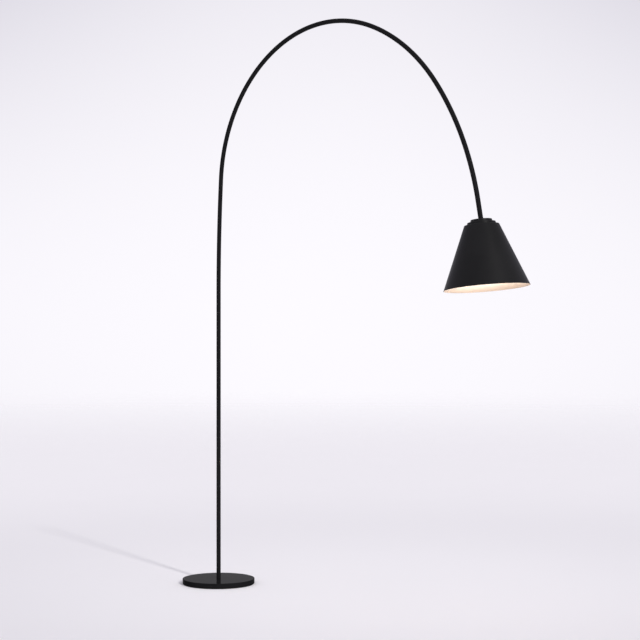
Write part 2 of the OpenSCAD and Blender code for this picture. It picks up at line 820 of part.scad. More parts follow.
// The threaded ring clamps the dish against the lampholder's flange
module shade_ring() {
    under = dish_at + dish_wall;
    ribs = 16;
    color("#141414") {
        turned([[holder_r, under], [holder_r + 9, under], [holder_r + 9, under + 2],
                [holder_r + 3.5, under + 3], [holder_r + 3.5, under + 11], [holder_r, under + 11]]);
        at_head() for (i = [0 : ribs - 1]) rotate(i * 360 / ribs)
            translate([holder_r + 3, -0.8, under + 2]) cube([1.6, 1.6, 8]);
    }
}

// ---- Bulb ----

module bulb_cap() {
    steps = 40;
    wall = 0.5;
    length = cap_to - cap_from;
    plain = 3;
    color("silver") turned(concat(
        [[bulb_cap_r - thread_depth - wall, cap_from]],
        [for (i = [0 : steps])
            let (along = length * i / steps,
                 wave = along < length - plain ? cos(360 * along / thread_pitch) : 1)
            [bulb_cap_r - thread_depth * (1 - wave) / 2, cap_from + along]],
        [[bulb_cap_r - thread_depth - wall, cap_to]]));
}

module bulb_insulator() {
    inner = bulb_cap_r - thread_depth - 0.5;
    color("#181818") turned([
        [0, bulb_at + 1], [5.2, bulb_at + 1], [inner - 1, cap_from], [inner, cap_from],
        [inner, cap_from + 2], [0, cap_from + 2]]);
}

module bulb_eyelet() {
    color("silver") at_head() translate([0, 0, bulb_at]) cylinder(r = 4.6, h = 1, $fn = small_fn);
}

module bulb_housing() {
    inner = bulb_cap_r - thread_depth - 0.5;
    waist_r = bulb_cap_r + 0.9;
    color("white") turned([
        [inner - 1, cap_to - 6], [inner, cap_to - 6], [inner, cap_to], [waist_r, cap_to],
        [waist_r, cap_to + 3], [globe_neck_r - 2.6, globe_cut - 14], [globe_neck_r, globe_cut - 4],
        [globe_neck_r, globe_cut], [globe_neck_r - housing_wall, globe_cut],
        [globe_neck_r - housing_wall, globe_cut - 4], [globe_neck_r - 2.6 - housing_wall, globe_cut - 13],
        [waist_r - housing_wall, cap_to + 4], [inner - 1, cap_to + 2]]);
}

module led_board() {
    chips = 8;
    chip_w = 2.8;
    chip_t = 0.8;
    chip_at = 14;
    chip_sunk = 0.2;
    board_t = 1.4;
    seat = globe_cut - 4;
    color("white") at_head() {
        translate([0, 0, seat]) cylinder(r = globe_neck_r - housing_wall, h = board_t, $fn = small_fn * 2);
        for (i = [0 : chips - 1]) rotate(i * 360 / chips)
            translate([chip_at, -chip_w / 2, seat + board_t - chip_sunk])
                cube([chip_w, chip_w, chip_t + chip_sunk]);
    }
}

module bulb_globe() {
    neck_angle = asin((globe_centre - globe_cut) / globe_r);
    inner_r = globe_r - globe_wall;
    inner_neck = asin((globe_centre - globe_cut) / inner_r);
    color("#fff3da") turned(concat(
        arc_points(0, globe_centre, globe_r, -neck_angle, 90, 24),
        arc_points(0, globe_centre, inner_r, 90, -inner_neck, 24)));
}

base_plate();
foot_pad();
recess_cover();
cover_screws();
inlet_bush();
terminal_block();
terminal_screws();
earth_tag();
earth_screw();
flex_cores();
base_washer();
base_nut();
base_nipple();
pole_insert();
lower_pole();
pole_spigot();
spigot_screws();
joint_washer();
flex_pole();
arc_tube();
stop_screw();
rod_end_plug();
stop_pin();
head_nipple();
wave_washer();
lock_nut();
flex_arc();
swivel_yoke();
tilt_screws();
tilt_washers();
tilt_bracket();
shade_cap();
cap_nuts();
cap_screws();
shade_shell();
inner_dish();
holder_nipple();
holder_nut();
flex_head();
holder_cap();
holder_body();
holder_insert();
centre_contact();
screw_shell();
shade_ring();
bulb_cap();
bulb_insulator();
bulb_eyelet();
bulb_housing();
led_board();
bulb_globe();
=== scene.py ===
# %% [markdown]
# # An arc floor lamp
# A heavy disc stands on the floor and holds a slim pole. A bent rod turns on the pole, and a spun metal
# shade hangs at the rod's end on a small knuckle that turns and tilts. The measured parts come from the
# CAD frame. This lesson gives them their finishes, and makes the parts that the eye rests on again as
# smooth surfaces: the pole, the arc, the shade's cap, the shade and the bulb's globe.

import json
import math

import bmesh
import bpy
import numpy as np
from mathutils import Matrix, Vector

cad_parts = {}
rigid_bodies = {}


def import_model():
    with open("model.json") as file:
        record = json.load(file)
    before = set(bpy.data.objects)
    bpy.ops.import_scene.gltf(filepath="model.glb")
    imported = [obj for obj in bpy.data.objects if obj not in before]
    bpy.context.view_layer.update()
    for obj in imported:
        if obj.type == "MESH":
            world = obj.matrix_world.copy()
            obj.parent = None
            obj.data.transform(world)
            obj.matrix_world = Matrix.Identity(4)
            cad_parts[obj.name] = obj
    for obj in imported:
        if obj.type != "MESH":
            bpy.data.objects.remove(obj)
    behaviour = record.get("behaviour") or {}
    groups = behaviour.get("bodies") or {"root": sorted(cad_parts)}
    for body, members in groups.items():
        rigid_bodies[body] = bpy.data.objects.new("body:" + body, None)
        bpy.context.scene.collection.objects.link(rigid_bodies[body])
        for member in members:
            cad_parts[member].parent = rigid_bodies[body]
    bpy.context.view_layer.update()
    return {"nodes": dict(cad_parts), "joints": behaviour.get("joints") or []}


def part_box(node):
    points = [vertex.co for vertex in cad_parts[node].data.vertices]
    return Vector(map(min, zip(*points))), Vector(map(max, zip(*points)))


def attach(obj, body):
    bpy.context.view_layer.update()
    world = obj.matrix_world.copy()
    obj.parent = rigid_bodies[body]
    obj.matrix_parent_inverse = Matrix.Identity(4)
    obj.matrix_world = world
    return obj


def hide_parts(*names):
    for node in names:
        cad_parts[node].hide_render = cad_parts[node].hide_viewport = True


for leftover in list(bpy.data.objects):
    bpy.data.objects.remove(leftover)
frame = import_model()
MM = 0.001

# %% [markdown]
# ## The camera
# A long lens from six metres away keeps the pole upright and hardly widens what is near. The camera is
# level, so upright lines stay upright, and it stands to one side, so the arc is seen three-quarters on.

# %% Camera
view_turn = math.radians(44)
to_right = Vector((math.cos(view_turn), math.sin(view_turn), 0))
forward = Vector((-math.sin(view_turn), math.cos(view_turn), 0))
camera_data = bpy.data.cameras.new("camera")
camera_data.lens = 92.5
camera_data.sensor_width = 36
camera = bpy.data.objects.new("camera", camera_data)
camera.location = 0.378 * to_right - 6.13 * forward + Vector((0, 0, 0.982))
camera.rotation_euler = (math.pi / 2, 0, view_turn)
bpy.context.scene.collection.objects.link(camera)
bpy.context.scene.camera = camera
print("camera stands at", [round(v, 3) for v in camera.location])

# %% [markdown]
# ## Writing shader maths as sums
# A material's nodes are easier to read as sums than as boxes and wires. `Field` wraps one output socket,
# and adding or multiplying two fields adds the Math node for it. `Finish` starts a material and makes
# every other node, from its type, its settings and what goes into its sockets.

# %% Field: one value that varies over a surface
class Field:
    """One output socket. Sums with numbers or other fields add their own Math nodes."""

    def __init__(self, finish, socket):
        self.finish = finish
        self.socket = socket

    def math(self, operation, first, second):
        inputs = {0: first, 1: second}
        return self.finish.add("ShaderNodeMath", {"operation": operation}, inputs)

    def __add__(self, other):
        return self.math("ADD", self, other)

    def __sub__(self, other):
        return self.math("SUBTRACT", self, other)

    def __rsub__(self, other):
        return self.math("SUBTRACT", other, self)

    def __mul__(self, other):
        return self.math("MULTIPLY", self, other)

    def __truediv__(self, other):
        return self.math("DIVIDE", self, other)

    __radd__ = __add__
    __rmul__ = __mul__

    def between(self, low, high):
        """A mask that rises smoothly from 0 at low to 1 at high."""
        settings = {"interpolation_type": "SMOOTHSTEP"}
        return self.finish.add("ShaderNodeMapRange", settings, {0: self, 1: low, 2: high})


# %% Finish: a material and its nodes
class Finish:
    """A material with one Principled shader, which add() feeds."""

    def __init__(self, name, **constants):
        self.material = bpy.data.materials.new(name)
        self.material.use_nodes = True
        self.tree = self.material.node_tree
        self.shader = self.tree.nodes["Principled BSDF"]
        for socket, value in constants.items():
            self.shader.inputs[socket.replace("_", " ")].default_value = value
        self.place = self.add("ShaderNodeTexCoord", output="Object")

    def add(self, kind, settings=None, inputs=None, output=0):
        node = self.tree.nodes.new(kind)
        for key, value in (settings or {}).items():
            setattr(node, key, value)
        for key, value in (inputs or {}).items():
            if isinstance(value, Field):
                self.tree.links.new(value.socket, node.inputs[key])
            else:
                node.inputs[key].default_value = value
        return Field(self, node.outputs[output])

    def noise(self, scale, detail=2.0, roughness=0.5):
        inputs = {"Vector": self.place, "Scale": scale, "Detail": detail, "Roughness": roughness}
        return self.add("ShaderNodeTexNoise", None, inputs)

    def mix(self, mask, first, second):
        """Blends two colours: first where the mask is 0 and second where it is 1."""
        paint = [c if isinstance(c, Field) else (*c, 1.0) for c in (first, second)]
        return self.add("ShaderNodeMix", {"data_type": "RGBA"}, {0: mask, 6: paint[0], 7: paint[1]}, 2)

    def along(self, axis):
        """The X, Y or Z part of the place on the object, in metres."""
        return self.add("ShaderNodeSeparateXYZ", None, {0: self.place}, axis)

    def feed(self, **fields):
        for socket, field in fields.items():
            self.tree.links.new(field.socket, self.shader.inputs[socket.replace("_", " ")])
        return self.material

    def relief(self, height, depth, strength=1.0):
        inputs = {"Height": height, "Distance": depth, "Strength": strength}
        return self.add("ShaderNodeBump", None, inputs, "Normal")


print("shader helpers are ready")

# %% [markdown]
# ## Powder coat
# The pole, the arc, the base and the outside of the shade are powder coated: dry paint melted into a
# skin with a very fine orange peel. It is nearly black and reflects little. Three scales of noise make
# it: a broad one shifts the gloss, a finer one is the peel in the bump, and the finest is its grain.

# %% Powder coat
def powder_coat(name, gloss, reflection, peel):
    coat = Finish(name, Specular_IOR_Level=reflection, Metallic=0.0)
    broad = coat.noise(9.0, 3.0)
    grain = coat.noise(2400.0, 2.0)
    skin = coat.noise(700.0, 3.0, 0.6)
    colour = coat.mix(broad.between(0.3, 0.7), (0.0086, 0.0086, 0.0092), (0.0108, 0.0107, 0.0114))
    colour = coat.mix(grain.between(0.62, 0.8) * 0.5, colour, (0.020, 0.020, 0.022))
    normal = coat.relief(skin + grain * 0.3, peel)
    return coat.feed(Base_Color=colour, Roughness=gloss + (broad - 0.5) * 0.12 + grain * 0.05, Normal=normal)


black_rod = powder_coat("black_rod_coat", 0.46, 0.03, 0.00003)
black_shade = powder_coat("black_shade_coat", 0.40, 0.10, 0.00003)
black_base = powder_coat("black_base_coat", 0.07, 0.0014, 0.000004)
print("powder coats:", black_rod.name, black_shade.name, black_base.name)

# %% [markdown]
# ## The white inside of the shade
# A shade is white inside so that it throws the bulb's light down. It is a stove enamel, a little uneven
# where the spray met the cone. Its colour is painted darker and warmer towards the rim. That is painted
# shade for the bulb's light, which falls off there.

# %% White enamel
LEAN = math.radians(6)
down = np.array([math.sin(LEAN), 0, -math.cos(LEAN)])
pivot = np.array(frame["joints"][2]["pos_m"])
CAP_ABOVE_PIVOT = 12.5 * MM
cap_top = pivot - CAP_ABOVE_PIVOT * down
RIM_SHADE_DEPTHS = (0.190, 0.224)


def enamel(name):
    coat = Finish(name, Specular_IOR_Level=0.3, Metallic=0.0)
    broad = coat.noise(14.0, 3.0)
    fine = coat.noise(900.0, 2.0)
    hanging = {0: coat.place, 1: tuple(down)}
    depth = coat.add("ShaderNodeVectorMath", {"operation": "DOT_PRODUCT"}, hanging, "Value")
    depth = depth - float(cap_top @ down)
    colour = coat.mix(broad.between(0.3, 0.7), (0.88, 0.84, 0.77), (0.92, 0.89, 0.82))
    # painted shade: the colour darkens and warms between these depths near the rim, where less of the bulb's
    # light falls
    colour = coat.mix(depth.between(*RIM_SHADE_DEPTHS), colour, (0.52, 0.43, 0.36))
    normal = coat.relief(fine, 0.00002)
    return coat.feed(Base_Color=colour, Roughness=0.42 + broad * 0.12, Normal=normal)


white_inside = enamel("white_enamel")
print("enamel:", white_inside.name, "darkens between depths", RIM_SHADE_DEPTHS)

# %% [markdown]
# ## Bare metal
# Nuts, nipples and washers are zinc plated or turned brass. Their tone is cloudy and their gloss is
# broken by fine tool marks, which a noise drawn out along one axis gives.

# %% Bare metal
def bare_metal(name, tone, worn, gloss, marks=1.0):
    metal = Finish(name, Metallic=1.0)
    drawn = metal.add("ShaderNodeMapping", None, {0: metal.place, 3: (180.0, 180.0, 2600.0)})
    lines = metal.add("ShaderNodeTexNoise", None, {"Vector": drawn, "Scale": 1.0, "Detail": 2.0})
    cloud = metal.noise(160.0, 4.0, 0.6)
    colour = metal.mix(cloud.between(0.35, 0.72), tone, worn)
    normal = metal.relief(lines, 0.00002 * marks, 0.6)
    return metal.feed(Base_Color=colour, Roughness=gloss + cloud * 0.14 + lines * 0.08, Normal=normal)


zinc = bare_metal("zinc_plate", (0.58, 0.59, 0.61), (0.44, 0.44, 0.43), 0.24)
black_oxide = bare_metal("black_oxide", (0.035, 0.035, 0.038), (0.075, 0.072, 0.070), 0.34)
brass = bare_metal("turned_brass", (0.72, 0.51, 0.20), (0.50, 0.33, 0.13), 0.22)
nickel = bare_metal("nickel_plate", (0.68, 0.66, 0.62), (0.56, 0.53, 0.48), 0.16)
print("bare metals:", zinc.name, black_oxide.name, brass.name, nickel.name)

# %% [markdown]
# ## Rubber, plastic, fibre and ceramic
# These are not metal and differ in tone, gloss and grain only, so one recipe makes them all: a cloudy
# colour, a sparse speck, and a fine bump for the moulded or fired skin.

# %% Moulded and fired parts
def moulded(name, tone, shade_tone, gloss, grain_scale, depth, speck=(0.0, 0.0, 0.0), specks=0.0):
    body = Finish(name, Specular_IOR_Level=0.35, Metallic=0.0)
    cloud = body.noise(110.0, 3.0)
    grain = body.noise(grain_scale, 3.0, 0.6)
    colour = body.mix(cloud.between(0.3, 0.7), tone, shade_tone)
    colour = body.mix(grain.between(0.66, 0.76) * specks, colour, speck)
    normal = body.relief(grain, depth)
    return body.feed(Base_Color=colour, Roughness=gloss + cloud * 0.14, Normal=normal)


rubber = moulded("moulded_black_rubber", (0.014, 0.014, 0.014), (0.022, 0.021, 0.020), 0.66, 1300.0, 0.00006)
nylon = moulded("moulded_black_nylon", (0.020, 0.020, 0.021), (0.030, 0.030, 0.031), 0.42, 900.0, 0.00002)
phenolic = moulded("black_phenolic", (0.012, 0.011, 0.011), (0.022, 0.019, 0.018), 0.20, 700.0, 0.00001)
white_plastic = moulded("moulded_white_plastic", (0.80, 0.79, 0.76), (0.72, 0.71, 0.67), 0.36, 800.0, 0.00002)
fibre = moulded("fibre_washer", (0.13, 0.12, 0.11), (0.20, 0.18, 0.16), 0.60, 1600.0, 0.00005)
ceramic = moulded("moulded_ceramic", (0.78, 0.75, 0.68), (0.70, 0.66, 0.58), 0.40, 620.0, 0.00003,
                  (0.34, 0.28, 0.22), 0.6)
sheath = moulded("flex_sheath", (0.020, 0.020, 0.020), (0.034, 0.034, 0.033), 0.48, 1100.0, 0.00002)
print("moulded parts:", rubber.name, nylon.name, phenolic.name, white_plastic.name, ceramic.name)

# %% [markdown]
# ## The flex's cores
# Brown is live, blue is neutral, and green with yellow is earth. The three cores fan out side by side,
# so the place across the base picks the colour, and a stripe that runs along it marks the earth core.

# %% Core colours
def core_insulation(name):
    body = Finish(name, Specular_IOR_Level=0.4, Metallic=0.0)
    across = body.along(1)
    stripe = body.along(2).between(0.0072, 0.0078)
    grain = body.noise(900.0)
    earth = body.mix(stripe, (0.03, 0.20, 0.05), (0.62, 0.52, 0.03))
    colour = body.mix(across.between(-0.0013, -0.0010), (0.10, 0.035, 0.012), earth)
    colour = body.mix(across.between(0.0010, 0.0013), colour, (0.012, 0.07, 0.33))
    return body.feed(Base_Color=colour, Roughness=0.38 + grain * 0.1, Normal=body.relief(grain, 0.00001))


cores = core_insulation("core_insulation")
print("cores:", cores.name)

# %% [markdown]
# ## The lit globe
# Opal glass scatters the light of the chips behind it. The crown glows evenly and the neck, where the
# board sits, is dimmer and warmer, so the glow falls off with height on the bulb.

# %% Opal glass
def opal(name, low_z, high_z):
    glass = Finish(name, Specular_IOR_Level=0.5, Metallic=0.0, Emission_Strength=15.0)
    height = glass.along(2).between(low_z, high_z)
    cloud = glass.noise(60.0)
    glow = glass.mix(height, (1.0, 0.80, 0.58), (0.92, 0.62, 0.38))
    colour = glass.mix(cloud, (0.90, 0.87, 0.80), (0.95, 0.92, 0.86))
    return glass.feed(Base_Color=colour, Roughness=0.16 + cloud * 0.08, Emission_Color=glow)


globe_low, globe_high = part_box("bulb_globe")
opal_glass = opal("opal_glass", globe_low.z, globe_high.z)
print("globe glows from", round(globe_low.z, 3), "to", round(globe_high.z, 3), "m")

# %% [markdown]
# ## Which part gets which finish
# Each finish is written once with the parts that have it, by the names that the frame gives them.

# %% Finish the CAD parts
FINISHES = [
    (black_base, "base_plate"),
    (black_rod, "recess_cover lower_pole arc_tube rod_end_plug swivel_yoke tilt_bracket"),
    (black_shade, "shade_cap shade_shell"),
    (white_inside, "inner_dish led_board"),
    (rubber, "foot_pad inlet_bush"),
    (nylon, "joint_washer"),
    (fibre, "tilt_washers"),
    (zinc, "cover_screws terminal_screws earth_screw base_washer base_nut base_nipple pole_insert"),
    (zinc, "pole_spigot stop_pin head_nipple wave_washer cap_nuts cap_screws holder_nipple holder_nut"),
    (black_oxide, "spigot_screws stop_screw tilt_screws"),
    (brass, "earth_tag lock_nut centre_contact screw_shell"),
    (phenolic, "holder_cap holder_body shade_ring bulb_insulator"),
    (white_plastic, "terminal_block bulb_housing"),
    (ceramic, "holder_insert"),
    (nickel, "bulb_cap bulb_eyelet"),
    (opal_glass, "bulb_globe"),
    (sheath, "flex_pole flex_arc flex_head"),
    (cores, "flex_cores"),
]
finished = set()
for finish, names in FINISHES:
    for node_name in names.split():
        slots = frame["nodes"][node_name].data.materials
        slots.clear()
        slots.append(finish)
        finished.add(node_name)
print("finished", len(finished), "CAD parts, unfinished:", sorted(set(frame["nodes"]) - finished))

# %% [markdown]
# ## A wall between two surfaces
# Tubes, the cap, the shade and the globe are all thin walls. Each one is two grids of points with the
# same rows and columns, one for the outside and one for the inside. Columns run around the piece and
# meet again, rows run along it. Cells can be left out, and wherever a kept cell has no neighbour a strip
# joins the two grids, so the wall is closed at its ends and round its holes.

# %% Shell: the faces between two grids
def strip(edge_a, edge_b, lift):
    """Quads from the edges a-b on the outside to the same edges on the inside."""
    return np.stack([edge_b, edge_a, edge_a + lift, edge_b + lift], -1)


def wall_faces(rows, columns, keep, open_ends=(True, True)):
    """Outside cells, inside cells, then strips along every edge that has a kept cell on one side only."""
    spots = np.arange(rows * columns).reshape(rows, columns)
    beside = np.roll(spots, -1, axis=1)
    lift = rows * columns
    a, b, c, d = spots[:-1], beside[:-1], beside[1:], spots[1:]
    outside = np.stack([a, b, c, d], -1)[keep]
    inside = np.stack([d, c, b, a], -1)[keep] + lift
    padded = np.pad(keep, ((1, 1), (0, 0)))
    starts = ~padded[:-1] & padded[1:]
    ends = padded[:-1] & ~padded[1:]
    starts[0] &= open_ends[0]
    ends[-1] &= open_ends[1]
    left = keep & ~np.roll(keep, 1, axis=1)
    right = keep & ~np.roll(keep, -1, axis=1)
    strips = [strip(spots[starts], beside[starts], lift), strip(beside[ends], spots[ends], lift),
              strip(d[left], a[left], lift), strip(b[right], c[right], lift)]
    return outside, inside, np.concatenate(strips)


def make_shell(name, outer, inner, material, keep=None, open_ends=(True, True), lining=None):
    """A closed wall between the grids outer and inner. A lining is a second finish on the inside."""
    rows, columns = outer.shape[:2]
    keep = np.ones((rows - 1, columns), bool) if keep is None else keep
    outside, inside, strips = wall_faces(rows, columns, keep, open_ends)
    quads = np.concatenate([outside, inside, strips])
    points = np.concatenate([outer.reshape(-1, 3), inner.reshape(-1, 3)])
    used, quads = np.unique(quads, return_inverse=True)
    quads = quads.reshape(-1, 4)
    points = points[used]
    p, q, r, s = (points[quads[:, k]] for k in range(4))
    volume = (np.cross(q - p, r - p) * p).sum() + (np.cross(r - p, s - p) * p).sum()
    if volume < 0:
        quads = quads[:, ::-1]
    mesh = bpy.data.meshes.new(name)
    mesh.vertices.add(len(points))
    mesh.vertices.foreach_set("co", points.astype(np.float32).ravel())
    mesh.loops.add(quads.size)
    mesh.loops.foreach_set("vertex_index", quads.astype(np.int32).ravel())
    mesh.polygons.add(len(quads))
    mesh.polygons.foreach_set("loop_start", np.arange(0, quads.size, 4, dtype=np.int32))
    mesh.materials.append(material)
    if lining:
        mesh.materials.append(lining)
        chosen = np.zeros(len(quads), np.int32)
        chosen[len(outside):len(outside) + len(inside)] = 1
        mesh.polygons.foreach_set("material_index", chosen)
    mesh.update(calc_edges=True)
    piece = bpy.data.objects.new(name, mesh)
    bpy.context.scene.collection.objects.link(piece)
    return piece


# %% [markdown]
# ## Closing poles and setting edges
# Where a grid runs up to a single point, all its columns lie there, so they are welded into one. Then
# the faces are shaded smooth, except across edges that really are sharp.

# %% Weld and smooth
SHARP = math.radians(40)
WELD = 1e-7


def polish(piece):
    """Welds coincident points and shades smooth, with sharp edges kept, then prints the piece's size."""
    cleaner = bmesh.new()
    cleaner.from_mesh(piece.data)
    bmesh.ops.remove_doubles(cleaner, verts=cleaner.verts, dist=WELD)
    volume = cleaner.calc_volume(signed=True)
    cleaner.to_mesh(piece.data)
    cleaner.free()
    corner_edges = np.zeros(len(piece.data.loops), np.int32)
    piece.data.loops.foreach_get("edge_index", corner_edges)
    open_edges = (np.bincount(corner_edges, minlength=len(piece.data.edges)) != 2).sum()
    piece.data.shade_smooth()
    piece.data.set_sharp_from_angle(angle=SHARP)
    print(f"{piece.name}: {len(piece.data.polygons)} faces, {open_edges} open edges, {volume * 1e9:.0f} mm3")
    return piece


# %% [markdown]
# ## The rod's path
# The tube is bent in one plane: a straight foot, a long bend that is barely one, a tight one that leads
# over the top, two easier ones that come down, and a straight end. Each bend touches the next, so it
# starts in the direction in which the last one ended. The path is written once as a distance along the
# tube, and both the pole and the arc are made from it.

# %% The path as a function of distance
BEND_RADII = np.array([6600, 550, 675, 960]) * MM
BEND_TURNS = np.radians([3.65, 109.35, 29.4, 26.7])
TUBE_R = 8 * MM
BORE_R = 6.8 * MM
BEND_START = 1087 * MM
bend_lengths = BEND_RADII * BEND_TURNS
headings = math.pi / 2 - np.concatenate([[0], np.cumsum(BEND_TURNS)])
bend_at = BEND_START + np.concatenate([[0], np.cumsum(bend_lengths)])


def bend_points():
    """Where each bend starts: the last start plus the chord of the bend between them."""
    turn = np.stack([np.sin(headings), -np.cos(headings)], -1)
    chords = BEND_RADII[:, None] * (turn[:-1] - turn[1:])
    return np.concatenate([[[0, BEND_START]], np.array([0, BEND_START]) + np.cumsum(chords, axis=0)])


bend_starts = bend_points()


def on_path(distance):
    """Centre and direction at a distance along the tube, counted from the floor below the pole.
    Within a bend the heading falls in step with the distance, and the centre moves by the radius
    times the change of the heading's sine and cosine. Outside the bends it moves straight on."""
    part = np.clip(np.searchsorted(bend_at, distance, side="right") - 1, 0, len(BEND_RADII))
    radius = np.concatenate([BEND_RADII, [np.inf]])[part]
    radius = np.where(distance < BEND_START, np.inf, radius)
    into = distance - bend_at[part]
    start = headings[part]
    now = start - into / radius
    bent = np.isfinite(radius)
    safe = np.where(bent, radius, 1.0)
    x = np.where(bent, safe * (np.sin(start) - np.sin(now)), into * np.cos(start))
    z = np.where(bent, safe * (np.cos(now) - np.cos(start)), into * np.sin(start))
    return bend_starts[part, 0] + x, bend_starts[part, 1] + z, now


rod_end = np.array(frame["joints"][1]["pos_m"])
PIVOT_PAST_BENDS = 74.5 * MM
end_x, end_z, _ = on_path(np.array([bend_at[-1] + PIVOT_PAST_BENDS]))
miss = math.hypot(end_x[0] - rod_end[0], end_z[0] - rod_end[2])
print("path misses the knuckle's pivot by", round(miss / MM, 3), "mm")

# %% [markdown]
# ## A tube with screw holes
# Small screws hold the spigot, so the tube has round holes in its back. A grid has square cells, so
# round each hole the rings of cells are drawn in from squares to circles: a point keeps its ring, and
# its place on that ring slides from the square to the circle. The cells inside the first circle go.

# %% Tube along the path
HOLE_R = 2 * MM
HOLE_CELLS = 4
PATCH_CELLS = 8
CELL = HOLE_R / HOLE_CELLS
FAR_COLUMNS = 43
EDGE_ROUND = 0.3 * MM


def squares_to_circles():
    """Places of a patch of grid points round a hole: across the tube and along it."""
    steps = np.arange(-PATCH_CELLS, PATCH_CELLS + 1)
    along, across = np.meshgrid(steps, steps, indexing="ij")
    ring = np.maximum(abs(along), abs(across))
    length = np.maximum(np.hypot(along, across), 1e-9)
    pull = np.clip((PATCH_CELLS - ring) / (PATCH_CELLS - HOLE_CELLS), 0, 1)
    scale = CELL * (pull * ring / length + (1 - pull))
    return across * scale, along * scale


def tube_angles(radius):
    """Angles round the tube from its back: even steps across the patch, then even angles."""
    patch = np.arcsin(np.arange(-PATCH_CELLS, PATCH_CELLS + 1) * CELL / radius)
    rest = np.linspace(patch[-1], patch[0] + 2 * math.pi, FAR_COLUMNS + 2)[1:-1]
    return np.concatenate([patch, rest])


def tube_rows(start, end, holes, step):
    """Distances of the rows: close together round each hole and about one step apart elsewhere."""
    patch = np.arange(-PATCH_CELLS, PATCH_CELLS + 1) * CELL
    stops = [start + EDGE_ROUND] + [h + edge for h in holes for edge in (patch[0], patch[-1])]
    stops.append(end - EDGE_ROUND)
    runs = [np.linspace(a, b, max(int((b - a) / step), 1) + 1) for a, b in zip(stops[::2], stops[1::2])]
    rows = [part for pair in zip(runs, [h + patch[1:-1] for h in holes] + [[]]) for part in pair]
    return np.concatenate([[start], *rows, [end]])


def on_tube(distance, angle, radius):
    """A point at an angle round the path: its back is towards +Y."""
    x, z, heading = on_path(distance)
    side = radius * np.sin(angle)
    return np.stack([x + side * np.sin(heading), radius * np.cos(angle), z - side * np.cos(heading)], -1)


def make_tube(name, start, end, holes, step):
    rows = tube_rows(start, end, holes, step)
    columns = tube_angles(TUBE_R)
    distance = np.repeat(rows[:, None], len(columns), axis=1)
    outer_angle = np.repeat(columns[None], len(rows), axis=0)
    inner_angle = np.repeat(tube_angles(BORE_R)[None], len(rows), axis=0)
    keep = np.ones((len(rows) - 1, len(columns)), bool)
    across, along = squares_to_circles()
    patch = slice(0, 2 * PATCH_CELLS + 1)
    gone = slice(PATCH_CELLS - HOLE_CELLS, PATCH_CELLS + HOLE_CELLS)
    for hole in holes:
        first = int(np.argmin(abs(rows - hole))) - PATCH_CELLS
        block = slice(first, first + 2 * PATCH_CELLS + 1)
        distance[block, patch] = hole + along
        outer_angle[block, patch] = np.arcsin(across / TUBE_R)
        inner_angle[block, patch] = np.arcsin(across / BORE_R)
        keep[first + gone.start:first + gone.stop, gone] = False
    radius = np.full((len(rows), 1), TUBE_R)
    radius[[0, -1]] -= EDGE_ROUND
    outer = on_tube(distance, outer_angle, radius)
    inner = on_tube(distance, inner_angle, BORE_R)
    return polish(make_shell(name, outer, inner, black_rod, keep))


# %% The pole
SET_SCREW_DROPS = (45 * MM, 20 * MM)
POLE_STEP = 20 * MM
pole_low, pole_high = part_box("lower_pole")
joint_z = pole_high.z
pole = make_tube("pole", pole_low.z, joint_z, [joint_z - drop for drop in SET_SCREW_DROPS], POLE_STEP)
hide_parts("lower_pole")
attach(pole, "base")

# %% The arc
STOP_SCREW_RISE = 30 * MM
STRAIGHT_END = 62.5 * MM
ARC_STEP = 8 * MM
arc_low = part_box("arc_tube")[0]
arc_end = bend_at[-1] + STRAIGHT_END
arc = make_tube("arc_rod", arc_low.z, arc_end, [joint_z + STOP_SCREW_RISE], ARC_STEP)
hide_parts("arc_tube")
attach(arc, "arc")

# %% [markdown]
# ## The head's own axes
# The cap, the shade and the bulb are turned shapes on one axis, which leans a little. A turned shape is
# a list of radii and depths below the cap's top, carried round that axis. The tilt joint's place gives
# the axis its origin, so nothing has to be measured again.

# %% Turning a profile
SIDES = 192
around = np.linspace(0, 2 * math.pi, SIDES, endpoint=False)
outward = np.array([math.cos(LEAN), 0, math.sin(LEAN)])
sideways = np.array([0, 1, 0])


def turned(radius, depth):
    """Points at a radius (one per row, or a row and column grid) and a depth, both in millimetres."""
    radius = np.asarray(radius, float)
    radius = radius[:, None] if radius.ndim == 1 else radius
    flat = np.cos(around)[:, None] * outward + np.sin(around)[:, None] * sideways
    depth = np.asarray(depth, float)[:, None, None]
    return cap_top + (radius[..., None] * flat + depth * down) * MM


def bow(centre_r, centre_t, radius, start, end, steps=8):
    """Radii and depths along a rounded edge about a centre, between two angles in degrees."""
    angle = np.radians(np.linspace(start, end, steps + 1))
    return np.stack([centre_r + radius * np.cos(angle), centre_t + radius * np.sin(angle)], -1)


print("the head hangs from", [round(v, 4) for v in cap_top])

# %% [markdown]
# ## The cap
# The cap is spun from one disc with two steps, each rounded where the metal goes over the tool. A slot
# in its top lets the rod lean as the shade tilts: two half circles joined by straight sides. The top's
# rows start on the slot's outline and open out into the round edge of the first step.

# %% The cap
WALL = 0.9
STEP = 8.4
UPPER_R, LOWER_R = 35.0, 46.0
FLANGE_R = 36.0
ROUND = 2.4
COVE = 1.0
SLOT_W, SLOT_HALF = 8.8, 13.0


def slot_outline(angle):
    """Distance from the slot's middle to its edge: the straight side where it is met first, and
    otherwise the half circle about its end."""
    end = SLOT_HALF - SLOT_W
    across = np.maximum(abs(np.sin(angle)), 1e-9)
    beside = abs(np.cos(angle))
    straight = SLOT_W / across
    bent = end * beside + np.sqrt(SLOT_W ** 2 - (end * across) ** 2)
    return np.where(straight * beside <= end, straight, bent)


def cap_profile(skin):
    """Radii and depths from the first rounded edge to the flange. skin is 0 outside, 1 inside."""
    t = WALL * skin
    return np.concatenate([
        bow(UPPER_R - ROUND, ROUND, ROUND - t, -90, 0),
        bow(UPPER_R + COVE, STEP - COVE, COVE + t, 180, 90),
        bow(LOWER_R - ROUND, STEP + ROUND, ROUND - t, -90, 0),
        [[LOWER_R - t, 2 * STEP - t], [FLANGE_R, 2 * STEP - t]],
    ])


